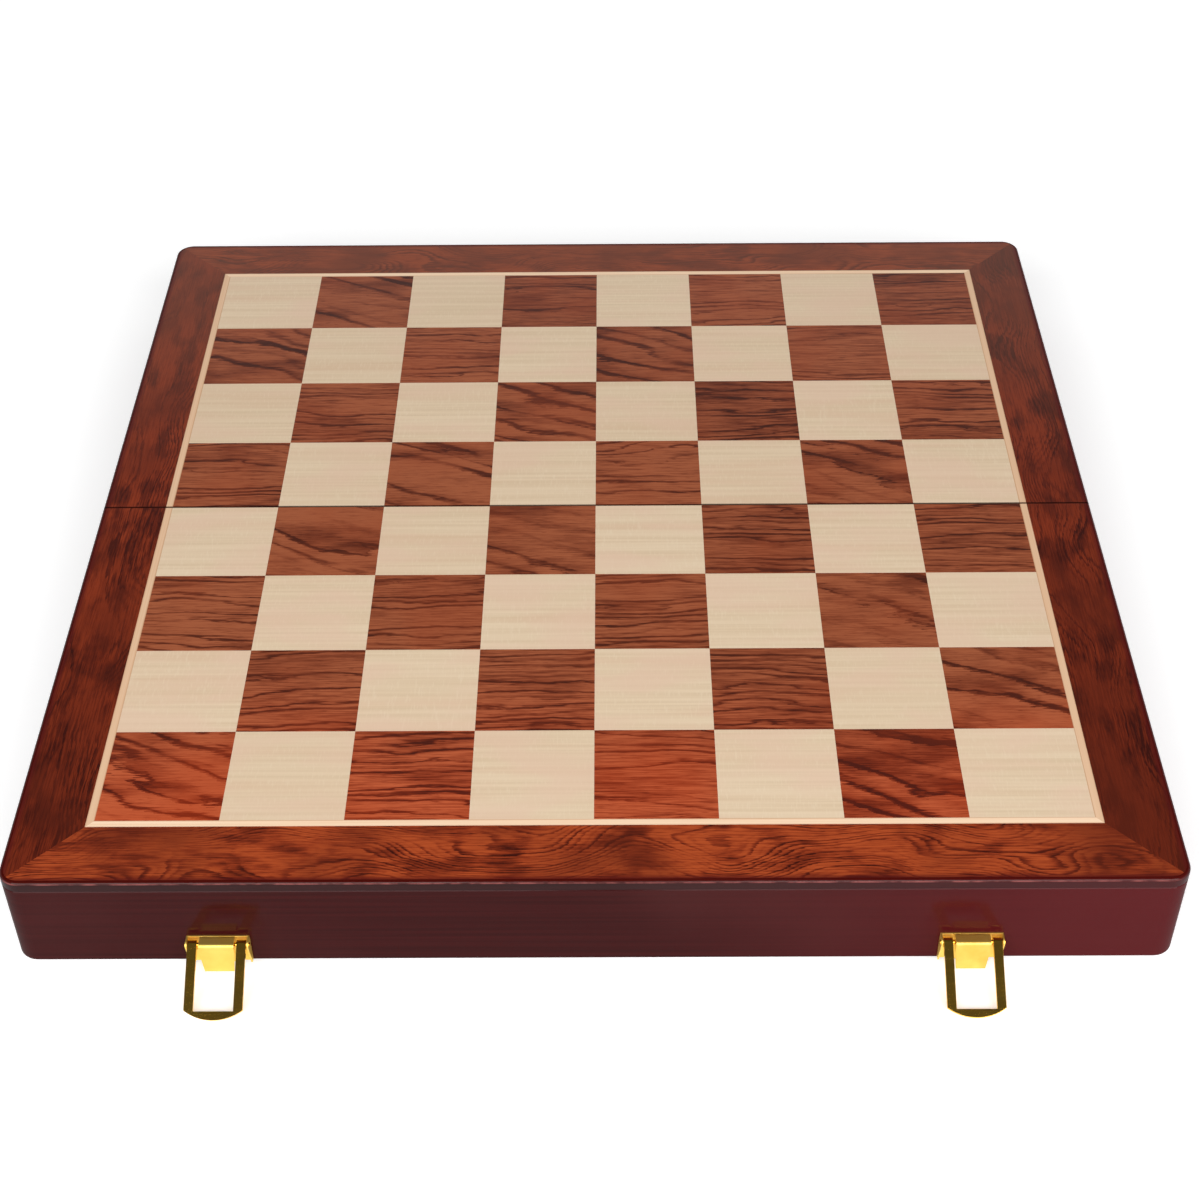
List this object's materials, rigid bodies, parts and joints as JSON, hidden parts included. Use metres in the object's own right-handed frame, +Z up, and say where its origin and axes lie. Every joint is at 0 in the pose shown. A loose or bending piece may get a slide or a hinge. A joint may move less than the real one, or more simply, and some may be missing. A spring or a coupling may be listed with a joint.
{
  "type": "folding chess board",
  "caption": "Folding wooden chess board: hinged half cases with inlaid squares on top, divided piece trays underneath and gold latches on the front edge.",
  "frame": {"origin": "the middle of the fold axis, on the plane of the case rims, with the board open and rims down", "axes": "+X along the fold, to the right seen from the latch side; +Y from the latch side towards the other player; +Z up, out of the playing surface"},
  "size_m": [0.3, 0.3226, 0.0312],
  "materials": {
    "case_lacquer": "dark maroon gloss lacquer over the wooden case",
    "dark_veneer": "reddish brown rosewood veneer under clear gloss lacquer",
    "light_veneer": "cream maple veneer under clear gloss lacquer",
    "inlay_veneer": "pale peach line inlay under clear gloss lacquer",
    "border_veneer": "figured rosewood veneer under clear gloss lacquer",
    "lining_felt": "black felt",
    "tray_flock": "wooden strips with a black flocked skin",
    "gold_metal": "polished gold plate"
  },
  "bodies": {
    "back_half": {"back_outer_rail": "case_lacquer", "back_left_rail": "case_lacquer", "back_right_rail": "case_lacquer", "back_seam_rail": "case_lacquer", "back_top_panel": "case_lacquer", "back_dark_squares": "dark_veneer", "back_light_squares": "light_veneer", "back_inlay": "inlay_veneer", "back_border": "border_veneer", "back_lining": "lining_felt", "back_tray_rails": "tray_flock", "back_tray_dividers": "tray_flock", "back_hinge_screws": "gold_metal", "left_hinge_back_leaf": "gold_metal", "left_hinge_pin": "gold_metal", "left_catch": "gold_metal", "left_catch_screws": "gold_metal", "right_hinge_back_leaf": "gold_metal", "right_hinge_pin": "gold_metal", "right_catch": "gold_metal", "right_catch_screws": "gold_metal"},
    "front_half": {"front_outer_rail": "case_lacquer", "front_left_rail": "case_lacquer", "front_right_rail": "case_lacquer", "front_seam_rail": "case_lacquer", "front_top_panel": "case_lacquer", "front_dark_squares": "dark_veneer", "front_light_squares": "light_veneer", "front_inlay": "inlay_veneer", "front_border": "border_veneer", "front_lining": "lining_felt", "front_tray_rails": "tray_flock", "front_tray_dividers": "tray_flock", "front_hinge_screws": "gold_metal", "left_hinge_front_leaf": "gold_metal", "left_latch_base": "gold_metal", "left_latch_spring": "gold_metal", "left_latch_pin": "gold_metal", "left_latch_screws": "gold_metal", "right_hinge_front_leaf": "gold_metal", "right_latch_base": "gold_metal", "right_latch_spring": "gold_metal", "right_latch_pin": "gold_metal", "right_latch_screws": "gold_metal"},
    "left_latch": {"left_latch_lever": "gold_metal"},
    "right_latch": {"right_latch_lever": "gold_metal"}
  },
  "joints": [
    {"name": "fold", "type": "hinge", "parent": "back_half", "child": "front_half", "pos_m": [0, 0, 0], "axis": [1, 0, 0], "range_deg": [0, 180]},
    {"name": "left_latch_swing", "type": "hinge", "parent": "front_half", "child": "left_latch", "pos_m": [-0.0966, -0.15205, 0.0086], "axis": [1, 0, 0], "range_deg": [-65, 59.04]},
    {"name": "right_latch_swing", "type": "hinge", "parent": "front_half", "child": "right_latch", "pos_m": [0.0966, -0.15205, 0.0086], "axis": [1, 0, 0], "range_deg": [-65, 59.04]}
  ]
}
